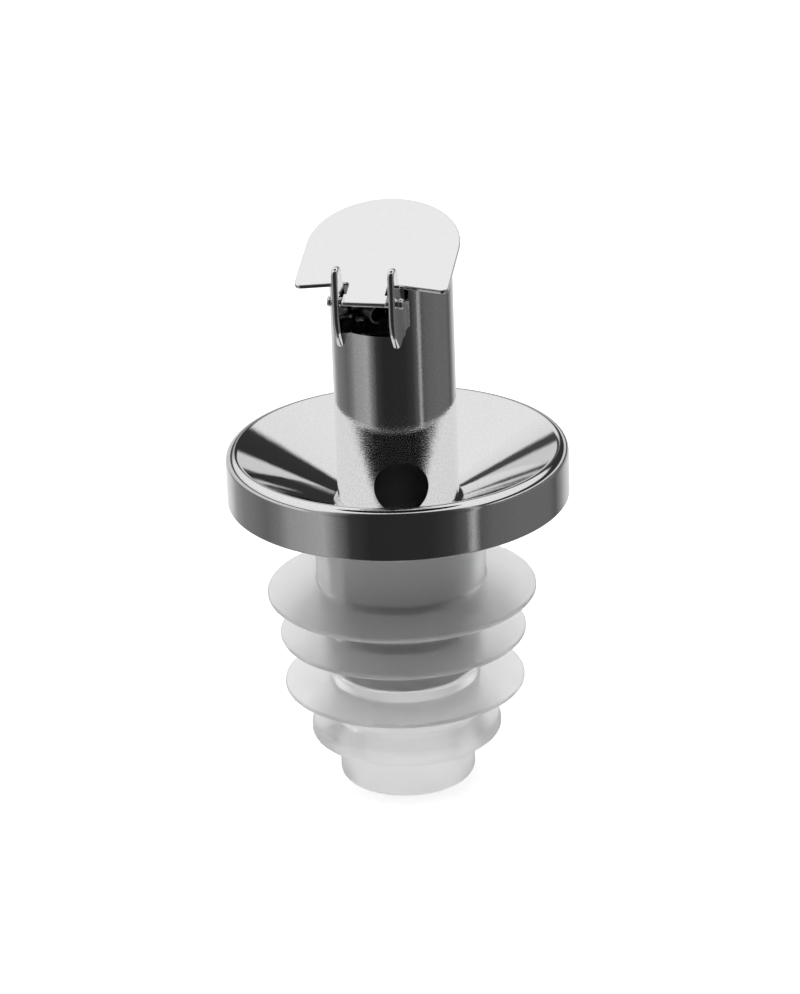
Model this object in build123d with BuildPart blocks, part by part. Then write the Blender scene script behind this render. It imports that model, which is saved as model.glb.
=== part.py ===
"""Liquor pour spout: steel spout tube with hinged flap, drip dish and finned stopper.

Millimetres. Origin at the centre of the stopper's bottom face, +Z up the spout.
The hinge is on the -Y side and its axis runs along X.
"""
import os
from math import radians, tan

from build123d import *

# --- driving dimensions -------------------------------------------------
DISH_DIAMETER = 38.0          # governing width of the whole spout
DISH_SHEET = 0.7
DISH_SKIRT_BOTTOM = 33.9
DISH_FLOOR = 34.2             # top of the dish floor where it meets the tube
DISH_SLOPE = 0.5              # rise of the floor per mm outwards
DISH_CREST_ROUND = 0.95

TUBE_RADIUS = 6.75
TUBE_WALL = 0.5
TUBE_BOTTOM = 13.0            # lower end, seated inside the stopper

HINGE_X = -1.05               # hinge sits slightly off the tube axis
PIN_Y = -8.5
PIN_Z = 59.65
PIN_RADIUS = 0.5
PIN_LENGTH = 8.4
EAR_HOLE_CLEARANCE = 0.05

EAR_GAP = 5.39                # between the inner faces at the front edges
EAR_SHEET = 0.75
EAR_OFFSET = -0.045           # middle of the gap from the hinge centre
EAR_FRONT_Y = -9.8
EAR_LEAN = 6.0                # degrees, both ears lean to the same side
EAR_ROOT_Y = -5.0             # ends of the ears inside the tube wall
EAR_ROOT_FILLET = 1.3
EAR_TOP = 63.75
EAR_TIP = 54.1
EAR_TIP_ROUND = 0.6
EAR_TOP_ROUND = 0.8
EAR_BELLY_Z = 56.8            # where the front edge turns back to the tip
EAR_BELLY_ROUND = 6.0
EAR_RELIEF = 59.2             # bottom of the relief between ear and tube wall
WINDOW_BOTTOM = 55.1
WINDOW_BACK_Y = -4.04
NOTCH_SHIFT = 0.32            # lean of an ear between its front edge and its notch
NOTCH_FOOT = (0.05, 0.4)      # reach of a notch beside its ear, at the relief
NOTCH_HEAD = (0.0, 1.0)       # and at the mouth

LID_TILT = 18.0               # degrees, the mouth is cut at this slope
LID_SHEET = 0.5
LID_UNDERSIDE = 0.33          # from pin axis to the lid's lower face
LID_WIDTH = 16.9
LID_OFFSET = 0.3              # lid centre line from the hinge centre
LID_ARC_CENTRE = 9.05         # from the pin, along the lid
LID_WING_INNER = 2.27
LID_WING_OUTER = 1.3
TONGUE_FRONT = -1.22
TONGUE_HALF = 2.45
TONGUE_BACK = 0.35
NECK_HALF = 2.15
LID_SEAT_GAP = 0.08

DRIP_HOLE_RADIUS = 3.0
DRIP_HOLE_Z = 37.3
DRIP_HOLE_TURN = 15.0         # degrees from -Y towards +X

SOLDER_LEG = 0.5

STOPPER_NOSE_RADIUS = 7.6
STOPPER_TOP_RADIUS = 9.5
NOSE_ROUND = 1.0
LOW_FIN_BLEND = 1.5
FIN_ROOT = 1.5                # fin thickness at the root
FIN_RIM = 0.6                 # fin thickness at the rim
FIN_ROOT_FILLET = 0.3
FIN_DROOP = 0.9               # rim centre below root centre
# rim height, rim radius, body radius below the fin
FINS = ((22.7, 15.06, 8.9), (17.7, 13.8, 8.4), (11.7, 13.5, 8.1))
FIN_LOW_Z = 6.2
FIN_LOW_RADIUS = 10.7

VENT_FOOT = (-3.3, -2.9)      # upright run of the vent tube
VENT_MOUTH = (-0.45, -5.6)    # its bent end, looking out of the window
VENT_RADIUS = 1.0
VENT_WALL = 0.2
VENT_BOTTOM = 13.2
VENT_BEND = 1.9
VENT_MOUTH_Z = 57.2
CLIP_BOTTOM = 46.0
CLIP_HEIGHT = 3.0
CLIP_WIDTH = 1.5

os.makedirs("parts", exist_ok=True)

tube_inner = TUBE_RADIUS - TUBE_WALL

# lid plane: x across the spout, y away from the pin towards the back
lid_plane = Plane(
    origin=(HINGE_X, PIN_Y, PIN_Z),
    x_dir=(1, 0, 0),
    z_dir=Vector(0, 0, 1).rotate(Axis.X, LID_TILT),
)

# --- ears: bent out of the front wall of the tube ------------------------
lean = tan(radians(EAR_LEAN))
root_shift = (EAR_ROOT_Y - EAR_FRONT_Y) * lean
window_shift = (WINDOW_BACK_Y - EAR_FRONT_Y) * lean
ear_left = HINGE_X + EAR_OFFSET - EAR_GAP / 2
ear_right = HINGE_X + EAR_OFFSET + EAR_GAP / 2

with BuildPart() as ears:
    with BuildSketch(Plane.XY.offset(EAR_TIP - 1)):
        Circle(TUBE_RADIUS)
        with BuildLine():
            Polyline(
                (ear_left, EAR_FRONT_Y),
                (ear_left + root_shift, EAR_ROOT_Y),
                (ear_left + root_shift - EAR_SHEET, EAR_ROOT_Y),
                (ear_left - EAR_SHEET, EAR_FRONT_Y),
                close=True,
            )
        make_face()
        with BuildLine():
            Polyline(
                (ear_right, EAR_FRONT_Y),
                (ear_right + EAR_SHEET, EAR_FRONT_Y),
                (ear_right + root_shift + EAR_SHEET, EAR_ROOT_Y),
                (ear_right + root_shift, EAR_ROOT_Y),
                close=True,
            )
        make_face()
    extrude(amount=EAR_TOP - EAR_TIP + 2)
    wall_edges = ears.edges().filter_by(Axis.Z).sort_by(Axis.X)
    on_wall = wall_edges.filter_by(
        lambda e: abs(e.center().X ** 2 + e.center().Y ** 2 - TUBE_RADIUS**2) < 1e-3
    ).filter_by(lambda e: e.center().Y < -2)
    fillet([on_wall[0], on_wall[-1]], radius=EAR_ROOT_FILLET)
    # leaf-shaped outline seen from the side
    with BuildSketch(Plane.YZ.offset(-12)) as leaf:
        with BuildLine():
            Polyline(
                (EAR_FRONT_Y, EAR_BELLY_Z),
                (EAR_FRONT_Y, EAR_TOP),
                (-8.15, EAR_TOP),
                (-7.9, 62.1),
                (-6.75, EAR_RELIEF),
                (-4.0, EAR_RELIEF),
                (-4.0, 55.0),
                (-6.9, 55.0),
                (-8.3, EAR_TIP),
                close=True,
            )
        make_face()
        fillet(leaf.vertices().sort_by(Axis.Y)[-2:], radius=EAR_TOP_ROUND)
        fillet(leaf.vertices().sort_by(Axis.Y)[0], radius=EAR_TIP_ROUND)
        fillet(
            leaf.vertices().filter_by(lambda v: abs(v.Y - EAR_BELLY_Z) < 1e-6),
            radius=EAR_BELLY_ROUND,
        )
    extrude(amount=24, mode=Mode.INTERSECT)
    Cylinder(
        TUBE_RADIUS,
        80,
        align=(Align.CENTER, Align.CENTER, Align.MIN),
        mode=Mode.SUBTRACT,
    )

# --- spout tube ------------------------------------------------------------
with BuildPart() as pour_tube:
    with BuildSketch(Plane.XY.offset(TUBE_BOTTOM)):
        Circle(TUBE_RADIUS)
        Circle(tube_inner, mode=Mode.SUBTRACT)
    extrude(amount=60)
    # oblique mouth, parallel to the closed lid
    with BuildSketch(lid_plane.offset(LID_UNDERSIDE - LID_SEAT_GAP)):
        with Locations((0, 8)):
            Rectangle(40, 60)
    extrude(amount=20, mode=Mode.SUBTRACT)
    # window between the ears
    with BuildSketch(Plane.XY.offset(WINDOW_BOTTOM)):
        with BuildLine():
            Polyline(
                (ear_left, EAR_FRONT_Y),
                (ear_right, EAR_FRONT_Y),
                (ear_right + window_shift, WINDOW_BACK_Y),
                (ear_left + window_shift, WINDOW_BACK_Y),
                close=True,
            )
        make_face()
    extrude(amount=15, mode=Mode.SUBTRACT)
    add(ears.part)
    # relief notches beside the ears
    with BuildSketch(Plane.XZ.offset(4.0)):
        for side, x_ear in ((1, ear_right), (-1, ear_left)):
            x_notch = x_ear + side * EAR_SHEET + NOTCH_SHIFT
            with BuildLine():
                Polyline(
                    (x_notch + side * NOTCH_FOOT[0], EAR_RELIEF),
                    (x_notch + side * NOTCH_HEAD[0], EAR_TOP + 2),
                    (x_notch + side * NOTCH_HEAD[1], EAR_TOP + 2),
                    (x_notch + side * NOTCH_FOOT[1], EAR_RELIEF),
                    close=True,
                )
            make_face()
    extrude(amount=2.9, mode=Mode.SUBTRACT)
    # hinge holes through both ears
    with Locations((HINGE_X, PIN_Y, PIN_Z)):
        Cylinder(
            PIN_RADIUS + EAR_HOLE_CLEARANCE,
            12,
            rotation=(0, 90, 0),
            mode=Mode.SUBTRACT,
        )
    # drip return hole at the foot of the tube
    hole_plane = Plane(
        origin=(0, 0, DRIP_HOLE_Z),
        z_dir=Vector(0, -1, 0).rotate(Axis.Z, DRIP_HOLE_TURN),
    )
    with BuildSketch(hole_plane):
        Circle(DRIP_HOLE_RADIUS)
    extrude(amount=12, mode=Mode.SUBTRACT)
pour_tube.part.label = "pour_tube"
export_step(pour_tube.part, "parts/pour_tube.step")

# --- lid: one flat stamping with a tongue over the hinge pin ---------------
half = LID_WIDTH / 2
with BuildPart() as lid:
    with BuildSketch(lid_plane.offset(LID_UNDERSIDE)):
        with BuildLine():
            Polyline(
                (LID_OFFSET - half, LID_ARC_CENTRE),
                (LID_OFFSET - half, LID_WING_OUTER),
                (-NECK_HALF, LID_WING_INNER),
                (-NECK_HALF, TONGUE_BACK),
                (-TONGUE_HALF, TONGUE_BACK),
                (-TONGUE_HALF, TONGUE_FRONT),
                (TONGUE_HALF, TONGUE_FRONT),
                (TONGUE_HALF, TONGUE_BACK),
                (NECK_HALF, TONGUE_BACK),
                (NECK_HALF, LID_WING_INNER),
                (LID_OFFSET + half, LID_WING_OUTER),
                (LID_OFFSET + half, LID_ARC_CENTRE),
            )
            ThreePointArc(
                (LID_OFFSET + half, LID_ARC_CENTRE),
                (LID_OFFSET, LID_ARC_CENTRE + half),
                (LID_OFFSET - half, LID_ARC_CENTRE),
            )
        make_face()
    extrude(amount=LID_SHEET)
    wing_corners = lid.edges().filter_by(lambda e: abs(e.length - LID_SHEET) < 1e-3)
    fillet(
        [wing_corners.sort_by(Axis.X)[0], wing_corners.sort_by(Axis.X)[-1]],
        radius=0.6,
    )
    # saddle pressed for the pin
    with Locations((HINGE_X, PIN_Y, PIN_Z)):
        Cylinder(PIN_RADIUS, 12, rotation=(0, 90, 0), mode=Mode.SUBTRACT)
lid.part.label = "lid"
export_step(lid.part, "parts/lid.step")

# --- hinge pin, welded into the lid's saddle --------------------------------
with BuildPart() as hinge_pin:
    with Locations((HINGE_X, PIN_Y, PIN_Z)):
        Cylinder(PIN_RADIUS, PIN_LENGTH, rotation=(0, 90, 0))
    fillet(hinge_pin.edges().filter_by(GeomType.CIRCLE), radius=0.2)
hinge_pin.part.label = "hinge_pin"
export_step(hinge_pin.part, "parts/hinge_pin.step")

# --- drip dish ---------------------------------------------------------------
skirt = DISH_DIAMETER / 2
sheet_drop = DISH_SHEET * (1 + DISH_SLOPE**2) ** 0.5
corner_z = DISH_FLOOR + (skirt - TUBE_RADIUS) * DISH_SLOPE
inner_corner_z = corner_z - DISH_SHEET * DISH_SLOPE - sheet_drop
with BuildPart() as drip_dish:
    with BuildSketch(Plane.XZ):
        with BuildLine():
            Polyline(
                (TUBE_RADIUS, DISH_FLOOR),
                (skirt, corner_z),
                (skirt, DISH_SKIRT_BOTTOM),
                (skirt - DISH_SHEET, DISH_SKIRT_BOTTOM),
                (skirt - DISH_SHEET, inner_corner_z),
                (TUBE_RADIUS, DISH_FLOOR - sheet_drop),
                close=True,
            )
        profile = make_face()
        crest = profile.vertices().sort_by(Axis.Y)[-1]
        fillet(crest, radius=DISH_CREST_ROUND)
    revolve(axis=Axis.Z)
    fillet(
        drip_dish.edges().filter_by(GeomType.CIRCLE).filter_by(
            lambda e: abs(e.center().Z - DISH_SKIRT_BOTTOM) < 1e-3
            and e.radius > skirt - DISH_SHEET - 0.1
        ),
        radius=0.25,
    )
drip_dish.part.label = "drip_dish"
export_step(drip_dish.part, "parts/drip_dish.step")

# --- solder ring under the dish ----------------------------------------------
dish_under = DISH_FLOOR - sheet_drop
with BuildPart() as solder_ring:
    with BuildSketch(Plane.XZ):
        with BuildLine():
            Polyline(
                (TUBE_RADIUS, dish_under),
                (TUBE_RADIUS + SOLDER_LEG, dish_under + SOLDER_LEG * DISH_SLOPE),
                (TUBE_RADIUS, dish_under - SOLDER_LEG),
                close=True,
            )
        make_face()
    revolve(axis=Axis.Z)
solder_ring.part.label = "solder_ring"
export_step(solder_ring.part, "parts/solder_ring.step")

# --- silicone stopper, one moulding with four fins ---------------------------
stopper_top = dish_under + (STOPPER_TOP_RADIUS - TUBE_RADIUS) * DISH_SLOPE
profile_points = [
    (tube_inner, 0),
    (tube_inner, TUBE_BOTTOM),
    (TUBE_RADIUS, TUBE_BOTTOM),
    (TUBE_RADIUS, dish_under - SOLDER_LEG),
    (TUBE_RADIUS + SOLDER_LEG, dish_under + SOLDER_LEG * DISH_SLOPE),
    (STOPPER_TOP_RADIUS, stopper_top),
]
body_radius = STOPPER_TOP_RADIUS
for rim_z, rim_radius, radius_below in FINS:
    root_z = rim_z + FIN_DROOP
    profile_points += [
        (body_radius, root_z + FIN_ROOT / 2),
        (rim_radius, rim_z + FIN_RIM / 2),
        (rim_radius, rim_z - FIN_RIM / 2),
        (radius_below, root_z - FIN_ROOT / 2),
    ]
    body_radius = radius_below
profile_points += [
    (body_radius, FIN_LOW_Z + 1.7),
    (FIN_LOW_RADIUS, FIN_LOW_Z + 0.75),
    (FIN_LOW_RADIUS, FIN_LOW_Z - 0.75),
    (STOPPER_NOSE_RADIUS, FIN_LOW_Z - 1.5),
    (STOPPER_NOSE_RADIUS, 0),
]
with BuildPart() as stopper:
    with BuildSketch(Plane.XZ):
        with BuildLine():
            Polyline(*profile_points, close=True)
        moulding = make_face()
        corners = moulding.vertices()
        rims = corners.filter_by(lambda v: v.X > FIN_LOW_RADIUS + 0.5)
        fillet(rims, radius=FIN_RIM * 0.48)
    revolve(axis=Axis.Z)
    roots = stopper.edges().filter_by(GeomType.CIRCLE).filter_by(
        lambda e: STOPPER_NOSE_RADIUS + 0.1 < e.radius < STOPPER_TOP_RADIUS + 0.1
        and e.center().Z < stopper_top - 1
    )
    fillet(roots, radius=FIN_ROOT_FILLET)
    low_rim = stopper.edges().filter_by(GeomType.CIRCLE).filter_by(
        lambda e: abs(e.radius - FIN_LOW_RADIUS) < 0.01
    )
    fillet(low_rim, radius=0.7)
    nose = stopper.edges().filter_by(GeomType.CIRCLE).filter_by(
        lambda e: abs(e.radius - STOPPER_NOSE_RADIUS) < 0.01
    )
    fillet(nose.sort_by(Axis.Z)[0], radius=NOSE_ROUND)
    fillet(nose.sort_by(Axis.Z)[-1], radius=LOW_FIN_BLEND)
stopper.part.label = "stopper"
export_step(stopper.part, "parts/stopper.step")

# --- vent tube and the clip that holds it to the spout wall ------------------
foot = Vector(VENT_FOOT[0], VENT_FOOT[1], 0)
reach = Vector(VENT_MOUTH[0] - VENT_FOOT[0], VENT_MOUTH[1] - VENT_FOOT[1], 0)
outward = reach.normalized()
bend_start = foot + Vector(0, 0, VENT_MOUTH_Z - VENT_BEND)
bend_end = foot + outward * VENT_BEND + Vector(0, 0, VENT_MOUTH_Z)
with BuildPart() as vent_tube:
    with BuildLine() as vent_path:
        Line(foot + Vector(0, 0, VENT_BOTTOM), bend_start)
        TangentArc(bend_start, bend_end, tangent=(0, 0, 1))
        Line(bend_end, foot + reach + Vector(0, 0, VENT_MOUTH_Z))
    with BuildSketch(Plane(origin=foot + Vector(0, 0, VENT_BOTTOM))):
        Circle(VENT_RADIUS)
        Circle(VENT_RADIUS - VENT_WALL, mode=Mode.SUBTRACT)
    sweep()
vent_tube.part.label = "vent_tube"
export_step(vent_tube.part, "parts/vent_tube.step")

clip_plane = Plane(
    origin=(0, 0, CLIP_BOTTOM),
    x_dir=foot.normalized(),
    z_dir=(0, 0, 1),
)
with BuildPart() as vent_clip:
    with BuildSketch(clip_plane):
        with Locations((foot.length + 1, 0)):
            Rectangle(2, CLIP_WIDTH)
    extrude(amount=CLIP_HEIGHT)
    with Locations((0, 0, CLIP_BOTTOM)):
        Cylinder(
            tube_inner,
            CLIP_HEIGHT,
            align=(Align.CENTER, Align.CENTER, Align.MIN),
            mode=Mode.INTERSECT,
        )
    with Locations((foot.X, foot.Y, CLIP_BOTTOM)):
        Cylinder(
            VENT_RADIUS,
            CLIP_HEIGHT,
            align=(Align.CENTER, Align.CENTER, Align.MIN),
            mode=Mode.SUBTRACT,
        )
vent_clip.part.label = "vent_clip"
export_step(vent_clip.part, "parts/vent_clip.step")
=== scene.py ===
import math

import bmesh
import bpy
from mathutils import Matrix, Vector


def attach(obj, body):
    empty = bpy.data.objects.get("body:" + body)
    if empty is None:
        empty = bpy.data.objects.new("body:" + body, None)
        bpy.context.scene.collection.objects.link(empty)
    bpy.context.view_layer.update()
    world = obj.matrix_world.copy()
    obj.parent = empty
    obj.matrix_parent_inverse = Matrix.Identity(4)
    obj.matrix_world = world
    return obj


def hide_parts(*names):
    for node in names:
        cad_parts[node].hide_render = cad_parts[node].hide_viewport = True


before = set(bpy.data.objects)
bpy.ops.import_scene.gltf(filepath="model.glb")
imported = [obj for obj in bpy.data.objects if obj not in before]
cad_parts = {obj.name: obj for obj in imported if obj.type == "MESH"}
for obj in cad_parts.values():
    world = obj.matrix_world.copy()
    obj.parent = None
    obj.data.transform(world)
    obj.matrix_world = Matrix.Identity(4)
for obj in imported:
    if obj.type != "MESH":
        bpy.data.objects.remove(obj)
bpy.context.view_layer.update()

MM = 0.001

# ---------------------------------------------------------------- sizes (mm, and degrees for turns)
TUBE_R, TUBE_IN, TUBE_FOOT, TUBE_STOCK_TOP, TUBE_EDGE = 6.75, 6.25, 13.0, 68, 0.06
HINGE_X, PIN_Y, PIN_Z, PIN_R, PIN_HOLE_R = -1.05, -8.5, 59.65, 0.5, 0.55
PIN_HALF, PIN_HEAD_R, HINGE_REACH = 4.2, 0.6, 6
EAR_GAP, EAR_SHEET, EAR_OFFSET, EAR_FRONT, EAR_SLOPE = 5.39, 0.75, -0.045, -9.8, 0.1051
EAR_TOP, EAR_LOW, EAR_BACK, EAR_EDGE, EAR_FILLET = 63.75, 55.0, -4.6, 0.3, 1.3
WINDOW_Z, WINDOW_BACK, WINDOW_SLIP = 55.1, -4.04, 0.05
ROOT_HEIGHT, ROOT_EMBED, ROOT_INTO_WALL = 4.0, 0.25, 0.92
NOTCH_Z, NOTCH_TOP, NOTCH_GAP, NOTCH_BACK, NOTCH_RUN = 59.2, 66, 0.32, -4.0, 2.95
DRIP_HOLE_R, DRIP_HOLE_Z, DRIP_HOLE_TURN = 3.0, 37.3, 15
LID_TILT, LID_UNDER, LID_SHEET, LID_EDGE, SEAT_GAP = 18.0, 0.33, 0.5, 0.14, 0.08
LID_HALF, LID_SHIFT, LID_ARC_Y = 8.45, 0.3, 9.05
DISH_R, DISH_FLOOR, DISH_SLOPE, DISH_SHEET, DISH_SKIRT = 19.0, 34.2, 0.5, 0.7, 33.9
STOPPER_TOP_R, NOSE_R, FIN_ROOT, FIN_TIP = 9.5, 7.6, 1.65, 0.3
FINS = ((22.7, 15.06, 8.9), (17.7, 13.8, 8.4), (11.7, 13.5, 8.1))  # height, radius, barrel radius below
SEAM_TURN, SEAM_HALF, SEAM_HEIGHT = 0.6, 0.012, 0.045  # the first two in radians
VENT_R, VENT_IN, VENT_BEND, VENT_FOOT_Z, VENT_MOUTH_Z = 1.0, 0.8, 1.9, 13.2, 57.2
VENT_FOOT, VENT_MOUTH = Vector((-3.3, -2.9, 0)), Vector((-0.45, -5.6, 0))
# the stopper seat's height, and the height below which the bore gets painted shade
SEAT_Z, BORE_SHADE_Z = DISH_FLOOR - 0.8, 50.0
FAR = 20  # takes a cutter clear of what it cuts
TUBE_SIDES = 256


# ---------------------------------------------------------------- mesh tools
def new_object(name, bm, body=None):
    """Turns a bmesh in millimetres into an object, and into a piece that rides on a body if one is given."""
    mesh = bpy.data.meshes.new(name)
    bmesh.ops.recalc_face_normals(bm, faces=bm.faces)
    bm.to_mesh(mesh)
    bm.free()
    mesh.transform(Matrix.Scale(MM, 4))
    obj = bpy.data.objects.new(name, mesh)
    bpy.context.scene.collection.objects.link(obj)
    if body:
        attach(obj, body)
    return obj


def even(count):
    """Angles evenly spread over a full turn."""
    return [2 * math.pi * k / count for k in range(count)]


def circle(radius, steps, centre=(0, 0)):
    return [Vector((centre[0] + radius * math.cos(a), centre[1] + radius * math.sin(a))) for a in even(steps)]


def rounded(points, steps=6):
    """Closed 2-D outline from (x, y, corner radius) with arcs at the corners."""
    out = []
    count = len(points)
    for i, (x, y, radius) in enumerate(points):
        here = Vector((x, y))
        if radius <= 0:
            out.append(here)
            continue
        before = (Vector(points[i - 1][:2]) - here).normalized()
        after = (Vector(points[(i + 1) % count][:2]) - here).normalized()
        half = before.angle(after) / 2
        run = radius / math.tan(half)
        centre = here + (before + after).normalized() * (radius / math.sin(half))
        start = here + before * run - centre
        sweep = math.pi - 2 * half
        turn = 1 if before.x * after.y - before.y * after.x < 0 else -1
        for k in range(steps + 1):
            a = turn * sweep * k / steps
            c, s = math.cos(a), math.sin(a)
            out.append(centre + Vector((start.x * c - start.y * s, start.x * s + start.y * c)))
    return out


def revolve(profile, angles, ridge=None):
    """Closed (radius, z) profile turned about Z, with an optional ridge added to its radius."""
    bm = bmesh.new()
    rings = []
    for a in angles:
        c, s = math.cos(a), math.sin(a)
        ring = []
        for r, z in profile:
            raised = r + (ridge(a, r, z) if ridge else 0)
            ring.append(bm.verts.new((raised * c, raised * s, z)))
        rings.append(ring)
    count = len(profile)
    for i, ring in enumerate(rings):
        other = rings[(i + 1) % len(rings)]
        for j in range(count):
            k = (j + 1) % count
            bm.faces.new((ring[j], other[j], other[k], ring[k]))
    return bm


def prism(outline, place):
    """Solid between place(p, 0) and place(p, 1) over a closed outline."""
    bm = bmesh.new()
    low = [bm.verts.new(place(p, 0)) for p in outline]
    high = [bm.verts.new(place(p, 1)) for p in outline]
    bm.faces.new(low)
    bm.faces.new(high[::-1])
    for i in range(len(outline)):
        j = (i + 1) % len(outline)
        bm.faces.new((low[i], low[j], high[j], high[i]))
    return bm


def inset(outline, distance):
    """Outline moved inwards, each point along the bisector of its two edges."""
    out = []
    for i, here in enumerate(outline):
        before = (here - outline[i - 1]).normalized()
        after = (outline[(i + 1) % len(outline)] - here).normalized()
        left = Vector((-before.y - after.y, before.x + after.x)).normalized()
        out.append(here + left * distance / max(0.3, left.dot(Vector((-before.y, before.x)))))
    return out


def pillow(outline, place, thickness, radius, steps=5):
    """Sheet between place(p, 0) and place(p, 1) with rounded edges."""
    area = sum(a.x * b.y - b.x * a.y for a, b in zip(outline, outline[1:] + outline[:1]))
    if area < 0:
        outline = outline[::-1]
    turns = [math.pi / 2 * k / steps for k in range(steps + 1)]
    levels = [(radius * (1 - math.cos(a)) / thickness, radius * (1 - math.sin(a))) for a in turns]
    levels += [(1 - u, d) for u, d in reversed(levels)]
    bm = bmesh.new()
    rings = [[bm.verts.new(place(p, u)) for p in inset(outline, d)] for u, d in levels]
    for a, b in zip(rings, rings[1:]):
        for i in range(len(a)):
            j = (i + 1) % len(a)
            bm.faces.new((a[i], a[j], b[j], b[i]))
    bm.faces.new(rings[0][::-1])
    bm.faces.new(rings[-1])
    return bm


def apply_modifiers(obj):
    graph = bpy.context.evaluated_depsgraph_get()
    mesh = bpy.data.meshes.new_from_object(obj.evaluated_get(graph))
    obj.modifiers.clear()
    obj.data = mesh


def combine(target, tool, operation):
    """Changes the target by the tool, which is used up."""
    mod = target.modifiers.new("combine", "BOOLEAN")
    mod.operation, mod.solver, mod.object = operation, "MANIFOLD", tool
    apply_modifiers(target)
    bpy.data.objects.remove(tool)


def cut(target, bm):
    combine(target, new_object("cutter", bm), "DIFFERENCE")


def join(target, piece):
    combine(target, piece, "UNION")


def weld(obj, distance=0.02):
    """Joins the points that the cuts left almost together."""
    bm = bmesh.new()
    bm.from_mesh(obj.data)
    bmesh.ops.remove_doubles(bm, verts=bm.verts, dist=distance * MM)
    bmesh.ops.dissolve_degenerate(bm, edges=bm.edges, dist=distance * MM)
    bm.to_mesh(obj.data)
    bm.free()


def split_at(obj, heights):
    """Adds edges round a mesh at these heights, so that its material can change there."""
    bm = bmesh.new()
    bm.from_mesh(obj.data)
    for z in heights:
        everything = bm.verts[:] + bm.edges[:] + bm.faces[:]
        bmesh.ops.bisect_plane(bm, geom=everything, plane_co=(0, 0, z * MM), plane_no=(0, 0, 1))
    bm.to_mesh(obj.data)
    bm.free()


def bevel(obj, width, segments, angle):
    mod = obj.modifiers.new("edge", "BEVEL")
    mod.width, mod.segments = width * MM, segments
    mod.limit_method, mod.angle_limit = "ANGLE", math.radians(angle)
    apply_modifiers(obj)


def smooth(obj, angle):
    obj.data.shade_smooth()
    obj.data.set_sharp_from_angle(angle=math.radians(angle))
    mod = obj.modifiers.new("flats", "WEIGHTED_NORMAL")
    mod.mode, mod.weight, mod.keep_sharp = "FACE_AREA", 100, True
    apply_modifiers(obj)


def polish_round(obj, radii):
    """Exact radial normals on the turned walls, so that reflections run clean past the cut-outs."""
    mesh = obj.data
    mesh.update()
    normals = [Vector(c.vector) for c in mesh.corner_normals]
    for poly in mesh.polygons:
        if abs(poly.normal.z) > 0.05:
            continue
        for corner in poly.loop_indices:
            at = mesh.vertices[mesh.loops[corner].vertex_index].co
            radial = Vector((at.x, at.y, 0))
            r = radial.length / MM
            if radial.length == 0:
                continue
            radial.normalize()
            for radius, sign in radii:
                if abs(r - radius) < 0.004 and poly.normal.dot(radial) * sign > 0.985:
                    normals[corner] = radial * sign
    mesh.normals_split_custom_set(normals)


# ---------------------------------------------------------------- lid plane
TILT = math.radians(LID_TILT)
PLANE_BACK = Vector((0, math.cos(TILT), math.sin(TILT)))
PLANE_UP = Vector((0, -math.sin(TILT), math.cos(TILT)))
PIN = Vector((HINGE_X, PIN_Y, PIN_Z))


def on_lid(x, y, height):
    """Point beside the pin's middle, back along the closed lid's plane and above it."""
    return PIN + Vector((x, 0, 0)) + PLANE_BACK * y + PLANE_UP * height


def across_hinge(p, k):
    """Places a (y, z) outline so that its prism passes both ears."""
    return (HINGE_X - HINGE_REACH + 2 * HINGE_REACH * k, p[0], p[1])


def upright(low, height):
    """Places an (x, y) outline so that its prism stands on a height."""
    return lambda p, k: (p[0], p[1], low + height * k)


# ---------------------------------------------------------------- spout tube
ear_left = HINGE_X - EAR_GAP / 2 + EAR_OFFSET
ear_right = HINGE_X + EAR_GAP / 2 + EAR_OFFSET
EARS = ((ear_left, -1), (ear_right, 1))  # x of the inner face at the front edge, and the outward side
LEAF = rounded(
    [(EAR_FRONT, 56.8, 6.0), (EAR_FRONT, EAR_TOP, 0.8), (-8.15, EAR_TOP, 0.8), (-7.9, 62.1, 1.5),
     (-TUBE_R, NOTCH_Z, 0.25), (EAR_BACK, NOTCH_Z, 0), (EAR_BACK, EAR_LOW, 0), (-6.9, EAR_LOW, 0.2),
     (-8.3, 54.1, 0.6)],
    steps=8,
)


def ear_x(base, y):
    """Both ears lean the same way as they run back."""
    return base + EAR_SLOPE * (y - EAR_FRONT)


def ear_root(base, side):
    """Rolled root between the ear's outer face and the tube wall."""
    outer = base + side * EAR_SHEET
    length = math.hypot(1, EAR_SLOPE)
    step_x, step_y = side * EAR_FILLET / length, side * EAR_SLOPE * EAR_FILLET / length
    # halving finds where a circle that touches the ear's face also touches the wall
    low, high = -9.0, -5.0
    for _ in range(60):
        y = (low + high) / 2
        centre = Vector((ear_x(outer, y) + step_x, y - step_y))
        if centre.length > TUBE_R + EAR_FILLET:
            low = y
        else:
            high = y
    start = math.atan2(side * EAR_SLOPE, -side)
    stop = math.atan2(-centre.y, -centre.x)
    if side > 0 and stop < 0:
        stop += 2 * math.pi
    if side > 0 and start < 0:
        start += 2 * math.pi
    turns = [start + (stop - start) * t / 10 for t in range(11)]
    arc = [centre + Vector((math.cos(a), math.sin(a))) * EAR_FILLET for a in turns]
    back = arc[0].y + 0.9
    inner = [arc[-1] * ROOT_INTO_WALL, Vector((ear_x(base, back) + side * ROOT_EMBED, back)),
             Vector((arc[0].x - side * ROOT_EMBED, arc[0].y))]
    root = new_object("root", prism(arc + inner, upright(WINDOW_Z, ROOT_HEIGHT)))
    # its foot climbs towards the back
    foot = [(-8.5, 54.0), (-3.5, 54.0), (-3.5, 58.6), (arc[0].y, 55.3), (-8.5, 55.3)]
    cut(root, prism(foot, lambda p, k: (-FAR + 2 * FAR * k, p[0], p[1])))
    return root


def ear(base, side):
    """Leaf bent out of the tube's wall, with its root."""
    def place(p, k):
        return (ear_x(base, p.x) + side * EAR_SHEET * k, p.x, p.y)
    leaf = new_object("ear", pillow(LEAF, place, EAR_SHEET, EAR_EDGE))
    join(leaf, ear_root(base, side))
    return leaf


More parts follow.
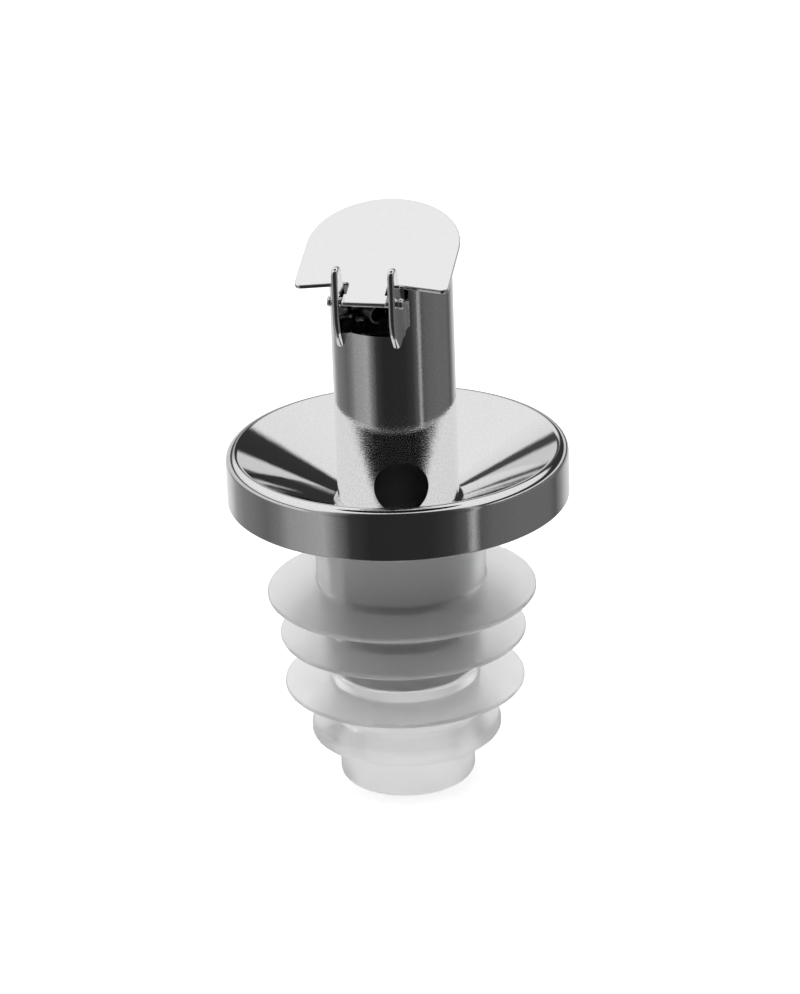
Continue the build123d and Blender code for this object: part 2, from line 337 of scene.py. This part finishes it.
tube = new_object(
    "spout_tube",
    prism(circle(TUBE_R, TUBE_SIDES), upright(TUBE_FOOT, TUBE_STOCK_TOP - TUBE_FOOT)),
    "spout",
)
mouth = [(-FAR, -FAR), (FAR, -FAR), (FAR, 3 * FAR), (-FAR, 3 * FAR)]
cut(tube, prism(mouth, lambda p, k: on_lid(p[0], p[1], LID_UNDER - SEAT_GAP + FAR * k)))
window = [(ear_x(ear_left, y) - WINDOW_SLIP, y) for y in (EAR_FRONT, WINDOW_BACK)]
window += [(ear_x(ear_right, y) + WINDOW_SLIP, y) for y in (WINDOW_BACK, EAR_FRONT)]
cut(tube, prism(window, upright(WINDOW_Z, FAR)))
for base, side in EARS:
    join(tube, ear(base, side))
cut(tube, prism(circle(TUBE_IN, TUBE_SIDES), upright(0, TUBE_STOCK_TOP + FAR)))
for base, side in EARS:
    inner_x = base + side * EAR_SHEET + NOTCH_GAP
    corners = ((0.05, NOTCH_Z), (0.0, NOTCH_TOP), (1.0, NOTCH_TOP), (0.4, NOTCH_Z))
    notch = [(inner_x + side * a, z) for a, z in corners]
    cut(tube, prism(notch, lambda p, k: (p[0], NOTCH_BACK - NOTCH_RUN * k, p[1])))
cut(tube, prism(circle(PIN_HOLE_R, 40, (PIN_Y, PIN_Z)), across_hinge))
hole_turn = math.radians(DRIP_HOLE_TURN)
hole_out = Vector((math.sin(hole_turn), -math.cos(hole_turn), 0))
hole_side = Vector((math.cos(hole_turn), math.sin(hole_turn), 0))
cut(tube, prism(
    circle(DRIP_HOLE_R, 96),
    lambda p, k: hole_side * p[0] + Vector((0, 0, DRIP_HOLE_Z + p[1])) + hole_out * FAR * k,
))
weld(tube)
bevel(tube, TUBE_EDGE, segments=3, angle=45)
split_at(tube, (SEAT_Z, BORE_SHADE_Z))
smooth(tube, 30)
polish_round(tube, ((TUBE_R, 1), (TUBE_IN, -1)))
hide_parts("pour_tube")

# ---------------------------------------------------------------- lid
lid_left, lid_right = LID_SHIFT - LID_HALF, LID_SHIFT + LID_HALF
lid_outline = rounded(
    [(lid_left, LID_ARC_Y, 0), (lid_left, 1.3, 0.7), (-2.15, 2.27, 0.12), (-2.15, 0.35, 0.1),
     (-2.45, 0.35, 0.15), (-2.45, -1.22, 0.25), (2.45, -1.22, 0.25), (2.45, 0.35, 0.15),
     (2.15, 0.35, 0.1), (2.15, 2.27, 0.12), (lid_right, 1.3, 0.7), (lid_right, LID_ARC_Y, 0)],
    steps=5,
)
lid_outline += [Vector((LID_SHIFT + LID_HALF * math.cos(a), LID_ARC_Y + LID_HALF * math.sin(a)))
                for a in (math.pi * k / 96 for k in range(1, 96))]
lid = new_object(
    "lid_plate",
    pillow(lid_outline, lambda p, k: on_lid(p[0], p[1], LID_UNDER + LID_SHEET * k), LID_SHEET, LID_EDGE),
    "flap",
)
cut(lid, prism(circle(PIN_R, 48, (PIN_Y, PIN_Z)), across_hinge))
smooth(lid, 30)
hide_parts("lid")

# ---------------------------------------------------------------- hinge pin, peened at both ends
pin_profile = rounded(
    [(0.0, PIN_HALF, 0), (PIN_HEAD_R, PIN_HALF, 0.25), (PIN_HEAD_R, 3.75, 0.1), (PIN_R, 3.65, 0),
     (PIN_R, -3.6, 0), (PIN_HEAD_R, -3.7, 0.1), (PIN_HEAD_R, -PIN_HALF, 0.25), (0.0, -PIN_HALF, 0)],
    steps=5,
)
bm = revolve([(max(p.x, 0.0005), p.y) for p in pin_profile], even(48))
bmesh.ops.rotate(bm, verts=bm.verts, matrix=Matrix.Rotation(math.radians(90), 3, "Y"))
bmesh.ops.translate(bm, verts=bm.verts, vec=PIN)
pin = new_object("hinge_pin_bar", bm, "flap")
smooth(pin, 40)
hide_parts("hinge_pin")

# ---------------------------------------------------------------- drip dish
drop = DISH_SHEET * math.hypot(1, DISH_SLOPE)
crest = DISH_FLOOR + (DISH_R - TUBE_R) * DISH_SLOPE
under_crest = crest - DISH_SHEET * DISH_SLOPE - drop
dish_profile = rounded(
    [(TUBE_R, DISH_FLOOR, 0), (DISH_R, crest, 0.95), (DISH_R, DISH_SKIRT, 0.25),
     (DISH_R - DISH_SHEET, DISH_SKIRT, 0.25), (DISH_R - DISH_SHEET, under_crest, 0.3),
     (TUBE_R, DISH_FLOOR - drop, 0)],
    steps=12,
)
bm = revolve([tuple(p) for p in dish_profile], even(288))
dish = new_object("dish_pressing", bm, "spout")
smooth(dish, 40)
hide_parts("drip_dish")

# ---------------------------------------------------------------- stopper
under_dish = DISH_FLOOR - drop
stopper_top = under_dish + (STOPPER_TOP_R - TUBE_R) * DISH_SLOPE
points = [
    (TUBE_IN, 0, 0.2), (TUBE_IN, TUBE_FOOT, 0), (TUBE_R, TUBE_FOOT, 0), (TUBE_R, under_dish - 0.5, 0),
    (TUBE_R + 0.5, under_dish + 0.25, 0), (STOPPER_TOP_R, stopper_top, 0),
]
barrel = STOPPER_TOP_R
for z, radius, below in FINS:
    points += [(barrel, z + FIN_ROOT, 0.3), (radius, z + FIN_TIP, 0.288)]
    points += [(radius, z - FIN_TIP, 0.288), (below, z + 0.15, 0.3)]
    barrel = below
points += [(barrel, 7.9, 0.6), (10.7, 6.95, 0.7), (10.7, 5.45, 0.7), (NOSE_R, 4.7, 1.5), (NOSE_R, 0, 1.0)]
seam_turns = (SEAM_TURN, SEAM_TURN + math.pi)
turns = even(216)
for seam in seam_turns:
    turns += [seam + SEAM_HALF * k / 2 for k in range(-2, 3)]
turns = sorted(a % (2 * math.pi) for a in turns)


def seam_ridge(a, r, z):
    """Mould line on the outside, on two opposite sides."""
    if r < 7.2 or z < 0.8 or z > stopper_top - 0.6:
        return 0
    near = min(abs((a - s + math.pi) % (2 * math.pi) - math.pi) for s in seam_turns)
    return SEAM_HEIGHT * max(0, 1 - near / SEAM_HALF)


bm = revolve([tuple(p) for p in rounded(points, steps=7)], turns, seam_ridge)
stopper = new_object("stopper_moulding", bm, "spout")
smooth(stopper, 45)
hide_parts("stopper")

# ---------------------------------------------------------------- vent tube
UP = Vector((0, 0, 1))
out = (VENT_MOUTH - VENT_FOOT).normalized()
line = [(VENT_FOOT + UP * VENT_FOOT_Z, UP)]
for k in range(13):
    a = math.pi / 2 * k / 12
    c, s = math.cos(a), math.sin(a)
    rise = Vector((0, 0, VENT_MOUTH_Z - VENT_BEND + VENT_BEND * s))
    line.append((VENT_FOOT + out * VENT_BEND * (1 - c) + rise, UP * c + out * s))
line.append((VENT_MOUTH + Vector((0, 0, VENT_MOUTH_Z)), out))
across = out.cross(UP)
bm = bmesh.new()
rings = []
for centre, direction in line:
    over = across.cross(direction)
    spokes = [across * math.cos(a) + over * math.sin(a) for a in even(32)]
    for r in (VENT_R, VENT_IN):
        rings.append([bm.verts.new(centre + spoke * r) for spoke in spokes])
walls = [(i, i + 2) for i in range(len(rings) - 2)]
ends = [(0, 1), (len(rings) - 2, len(rings) - 1)]
for i, j in walls + ends:
    for k in range(32):
        n = (k + 1) % 32
        bm.faces.new((rings[i][k], rings[i][n], rings[j][n], rings[j][k]))
vent = new_object("vent_pipe", bm, "spout")
smooth(vent, 40)
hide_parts("vent_tube")


# ---------------------------------------------------------------- materials
def blank_material(name):
    mat = bpy.data.materials.new(name)
    mat.use_nodes = True
    return mat, mat.node_tree.nodes, mat.node_tree.links


def add(nodes, kind, **values):
    node = nodes.new(kind)
    for key, value in values.items():
        setattr(node, key, value)
    return node


def noise(nodes, links, scale, detail):
    """Noise in the object's own coordinates, stretched by the scale along X, Y and Z."""
    coords = add(nodes, "ShaderNodeTexCoord")
    mapping = add(nodes, "ShaderNodeMapping")
    mapping.inputs["Scale"].default_value = scale
    node = add(nodes, "ShaderNodeTexNoise")
    node.inputs["Scale"].default_value = 1.0
    node.inputs["Detail"].default_value = detail
    node.inputs["Roughness"].default_value = 0.55
    links.new(coords.outputs["Object"], mapping.inputs["Vector"])
    links.new(mapping.outputs["Vector"], node.inputs["Vector"])
    return node.outputs["Fac"]


def ramp(nodes, links, source, stops):
    """Grey ramp from (position, value) stops."""
    node = add(nodes, "ShaderNodeValToRGB")
    elements = node.color_ramp.elements
    while len(elements) < len(stops):
        elements.new(0.5)
    for element, (position, value) in zip(elements, stops):
        element.position = position
        element.color = (value, value, value, 1)
    links.new(source, node.inputs["Fac"])
    return node.outputs["Color"]


def bump(nodes, links, source, strength, distance, normal=None):
    node = add(nodes, "ShaderNodeBump")
    node.inputs["Strength"].default_value = strength
    node.inputs["Distance"].default_value = distance
    links.new(source, node.inputs["Height"])
    if normal:
        links.new(normal, node.inputs["Normal"])
    return node.outputs["Normal"]


def steel(name, tint, rough, grain, grain_depth, wave_depth, speckle_depth=0.0, mottle=0.015):
    """Metal with a drawn or spun grain, a broad waviness, fine speckle and a mottled tint."""
    mat, nodes, links = blank_material(name)
    shader = nodes["Principled BSDF"]
    shader.inputs["Metallic"].default_value = 1.0
    fine = noise(nodes, links, grain, 4)
    broad = noise(nodes, links, (140, 140, 140), 3)
    smear = noise(nodes, links, (4200, 4200, 4200), 3)
    speckle = noise(nodes, links, (5200, 5200, 5200), 2)
    tints = [(0.35, tint * (1 - mottle)), (0.65, tint * (1 + mottle))]
    links.new(ramp(nodes, links, smear, tints), shader.inputs["Base Color"])
    links.new(ramp(nodes, links, fine, [(0.3, rough), (0.8, rough * 1.8)]), shader.inputs["Roughness"])
    waved = bump(nodes, links, broad, 0.5, wave_depth)
    speckled = bump(nodes, links, speckle, 0.5, speckle_depth, waved)
    links.new(bump(nodes, links, fine, 0.5, grain_depth, speckled), shader.inputs["Normal"])
    return mat


def silicone():
    mat, nodes, links = blank_material("frosted_silicone")
    shader = nodes["Principled BSDF"]
    cloud = noise(nodes, links, (260, 260, 260), 4)
    fine = noise(nodes, links, (5200, 5200, 5200), 3)
    links.new(ramp(nodes, links, cloud, [(0.25, 0.875), (0.8, 0.925)]), shader.inputs["Base Color"])
    links.new(ramp(nodes, links, fine, [(0.2, 0.30), (0.8, 0.42)]), shader.inputs["Roughness"])
    shader.inputs["IOR"].default_value = 1.2
    shader.inputs["Transmission Weight"].default_value = 0.76
    links.new(bump(nodes, links, fine, 0.25, 0.00003), shader.inputs["Normal"])
    return mat


def dress(obj, mat):
    obj.data.materials.clear()
    obj.data.materials.append(mat)


# grain is the noise's scale along X, Y and Z; depths are in metres
tube_steel = steel("tube_steel", tint=0.88, rough=0.05, grain=(2500, 2500, 60), grain_depth=0.000004,
                   wave_depth=0.00003, speckle_depth=0.00001, mottle=0.06)
dish_steel = steel("dish_steel", tint=0.88, rough=0.035, grain=(200, 200, 3500), grain_depth=0.000003,
                   wave_depth=0.00004, speckle_depth=0.000005, mottle=0.035)
lid_steel = steel("lid_steel", tint=0.96, rough=0.09, grain=(180, 2600, 2600), grain_depth=0.000004,
                  wave_depth=0.00003)
pin_steel = steel("pin_steel", tint=0.82, rough=0.12, grain=(80, 3000, 3000), grain_depth=0.000004,
                  wave_depth=0.00001)
vent_steel = steel("vent_steel", tint=0.50, rough=0.2, grain=(1500, 1500, 80), grain_depth=0.000005,
                   wave_depth=0.00001)
solder_metal = steel("solder_metal", tint=0.60, rough=0.4, grain=(900, 900, 900), grain_depth=0.00002,
                     wave_depth=0.00004)
# bore below the window: rougher steel whose darker tint is painted shade in the deep bore
bore_steel_painted_shade = steel("bore_steel_painted_shade", tint=0.34, rough=0.3, grain=(1500, 1500, 80), grain_depth=0.00001,
                   wave_depth=0.00002)
# tube inside the stopper: rough steel whose near-black tint is painted shade under the dish
seat_steel_painted_shade = steel("seat_steel_painted_shade", tint=0.10, rough=0.5, grain=(1500, 1500, 80), grain_depth=0.00001,
                   wave_depth=0.00002)
dress(tube, tube_steel)
dress(dish, dish_steel)
dress(lid, lid_steel)
dress(pin, pin_steel)
dress(vent, vent_steel)
dress(stopper, silicone())
# the bore below the window is rougher and has painted shade in its darker tint, and the seat inside the
# stopper is rough and painted near black as shade
tube.data.materials.append(bore_steel_painted_shade)
tube.data.materials.append(seat_steel_painted_shade)
for poly in tube.data.polygons:
    middle, radial = poly.center / MM, Vector((poly.center.x, poly.center.y, 0)).normalized()
    if math.hypot(middle.x, middle.y) < TUBE_IN + 0.02 and poly.normal.dot(radial) < -0.9:
        poly.material_index = 1 if middle.z < BORE_SHADE_Z else 0
    elif middle.z < SEAT_Z:
        poly.material_index = 2
for node, mat in (("solder_ring", solder_metal), ("vent_clip", vent_steel)):
    for material_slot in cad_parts[node].material_slots:
        material_slot.material = mat

# ---------------------------------------------------------------- stage
AZIMUTH = math.radians(12.0)
floor_mat = blank_material("studio_floor")[0]
shader = floor_mat.node_tree.nodes["Principled BSDF"]
shader.inputs["Base Color"].default_value = (0.9, 0.9, 0.9, 1)
shader.inputs["Roughness"].default_value = 0.9
shader.inputs["Emission Color"].default_value = (1, 1, 1, 1)
shader.inputs["Emission Strength"].default_value = 0.62
bm = bmesh.new()
bmesh.ops.create_grid(bm, x_segments=1, y_segments=1, size=1500)
floor = new_object("floor", bm)
dress(floor, floor_mat)
floor.visible_glossy = False

# light tent: its panels, by angle to the right of the lens, give the polished metal what it mirrors
TENT_R = 3.0
TENT_WALL = [
    (-180, 1.06), (-165, 0.80), (-150, 0.60), (-140, 0.315), (-128, 0.21), (-100, 0.13), (-88, 0.18),
    (-78, 0.29), (-52, 0.365), (-42, 0.16), (-33, 0.04), (-20, 0.022), (20, 0.024), (35, 0.04),
    (45, 0.10), (50, 0.40), (55, 0.09), (65, 0.12), (90, 0.14), (120, 0.14), (130, 0.10), (140, 0.27),
    (150, 0.52), (165, 0.72), (180, 1.06),
]
# and by height above the horizon, on the tent's left and right halves
ROOF_LEFT = [
    (-6, 0.55), (2, 0.62), (14, 0.62), (16, 0.06), (21, 0.06), (23, 0.75), (35, 0.85), (69.5, 0.85),
    (70.5, 0.01), (90, 0.01),
]
ROOF_RIGHT = [
    (-6, 0.45), (-4, 0.04), (3, 0.04), (5, 0.62), (15, 0.65), (17, 0.03), (32, 0.035), (35, 0.8),
    (69.5, 0.85), (70.5, 0.01), (90, 0.01),
]
WALL_TO_ROOF = [(-9, 0.0), (-5, 1.0)]
MIX_A, MIX_B, MIX_COLOR = 6, 7, 2  # sockets of a Mix node that mixes colours


def tent_cloth():
    mat, nodes, links = blank_material("tent_cloth")
    nodes.clear()

    def share(source, low, high):
        node = add(nodes, "ShaderNodeMapRange")
        node.inputs["From Min"].default_value, node.inputs["From Max"].default_value = low, high
        links.new(source, node.inputs["Value"])
        return node.outputs["Result"]

    def mix(factor, first, second):
        node = add(nodes, "ShaderNodeMix", data_type="RGBA")
        links.new(factor, node.inputs["Factor"])
        links.new(first, node.inputs[MIX_A])
        links.new(second, node.inputs[MIX_B])
        return node.outputs[MIX_COLOR]

    def by_height(stops):
        return ramp(nodes, links, height, [(0.5 + 0.5 * math.sin(math.radians(a)), v) for a, v in stops])

    coords = add(nodes, "ShaderNodeTexCoord")
    axes = add(nodes, "ShaderNodeSeparateXYZ")
    links.new(coords.outputs["Object"], axes.inputs[0])
    turn = add(nodes, "ShaderNodeMath", operation="ARCTAN2")
    links.new(axes.outputs["Y"], turn.inputs[0])
    links.new(axes.outputs["X"], turn.inputs[1])
    around = share(turn.outputs[0], -math.pi, math.pi)
    wall = ramp(nodes, links, around, [((a + 180) / 360, v) for a, v in TENT_WALL])
    height = share(axes.outputs["Z"], -TENT_R, TENT_R)
    roof = mix(share(axes.outputs["Y"], -0.2, 0.2), by_height(ROOF_LEFT), by_height(ROOF_RIGHT))
    inside = mix(by_height(WALL_TO_ROOF), wall, roof)
    # towards the lens the wall goes on over the roof
    cloth = mix(share(axes.outputs["X"], 1.2, 1.6), inside, wall)
    glow = add(nodes, "ShaderNodeEmission")
    links.new(cloth, glow.inputs["Color"])
    surface = add(nodes, "ShaderNodeOutputMaterial")
    links.new(glow.outputs[0], surface.inputs["Surface"])
    return mat


bm = bmesh.new()
bmesh.ops.create_icosphere(bm, subdivisions=5, radius=TENT_R / MM)
tent = new_object("light_tent", bm)
tent.rotation_euler = (0, 0, AZIMUTH - math.pi / 2)
dress(tent, tent_cloth())
tent.visible_camera = False
tent.visible_shadow = False

world = bpy.data.worlds.new("studio")
bpy.context.scene.world = world
world.use_nodes = True
world.node_tree.nodes["Background"].inputs["Color"].default_value = (1, 1, 1, 1)
world.node_tree.nodes["Background"].inputs["Strength"].default_value = 1.0


def area_light(name, at, target, size, power):
    data = bpy.data.lights.new(name, "AREA")
    data.shape, data.size, data.size_y, data.energy = "RECTANGLE", size[0], size[1], power
    lamp = bpy.data.objects.new(name, data)
    bpy.context.scene.collection.objects.link(lamp)
    lamp.location = at
    lamp.visible_glossy = False
    lamp.rotation_euler = (Vector(target) - Vector(at)).to_track_quat("-Z", "Y").to_euler()


area_light("top_light", (0.0, 0.05, 0.6), (0, 0, 0.03), (0.6, 0.6), 2.0)

# ---------------------------------------------------------------- camera
ELEVATION, ROLL, LENS = math.radians(22.636), math.radians(2.086), 168.95
AIM = Vector((0, 0, 27.5))
DISTANCE, SHIFT_RIGHT, SHIFT_UP = 520.336, -0.066, 5.576
right = Vector((math.cos(AZIMUTH), math.sin(AZIMUTH), 0))
back = Vector((
    math.sin(AZIMUTH) * math.cos(ELEVATION),
    -math.cos(AZIMUTH) * math.cos(ELEVATION),
    math.sin(ELEVATION),
))
up = back.cross(right)
cam_right = right * math.cos(ROLL) - up * math.sin(ROLL)
cam_up = right * math.sin(ROLL) + up * math.cos(ROLL)
camera_data = bpy.data.cameras.new("camera")
camera_data.lens = LENS
camera_data.sensor_width = 36
camera_data.clip_start, camera_data.clip_end = 0.01, 20
camera = bpy.data.objects.new("camera", camera_data)
bpy.context.scene.collection.objects.link(camera)
at = (AIM + back * DISTANCE + cam_right * SHIFT_RIGHT + cam_up * SHIFT_UP) * MM
camera.matrix_world = Matrix((
    (cam_right.x, cam_up.x, back.x, at.x),
    (cam_right.y, cam_up.y, back.y, at.y),
    (cam_right.z, cam_up.z, back.z, at.z),
    (0, 0, 0, 1),
))
bpy.context.scene.camera = camera
bpy.context.scene.view_settings.view_transform = "Standard"
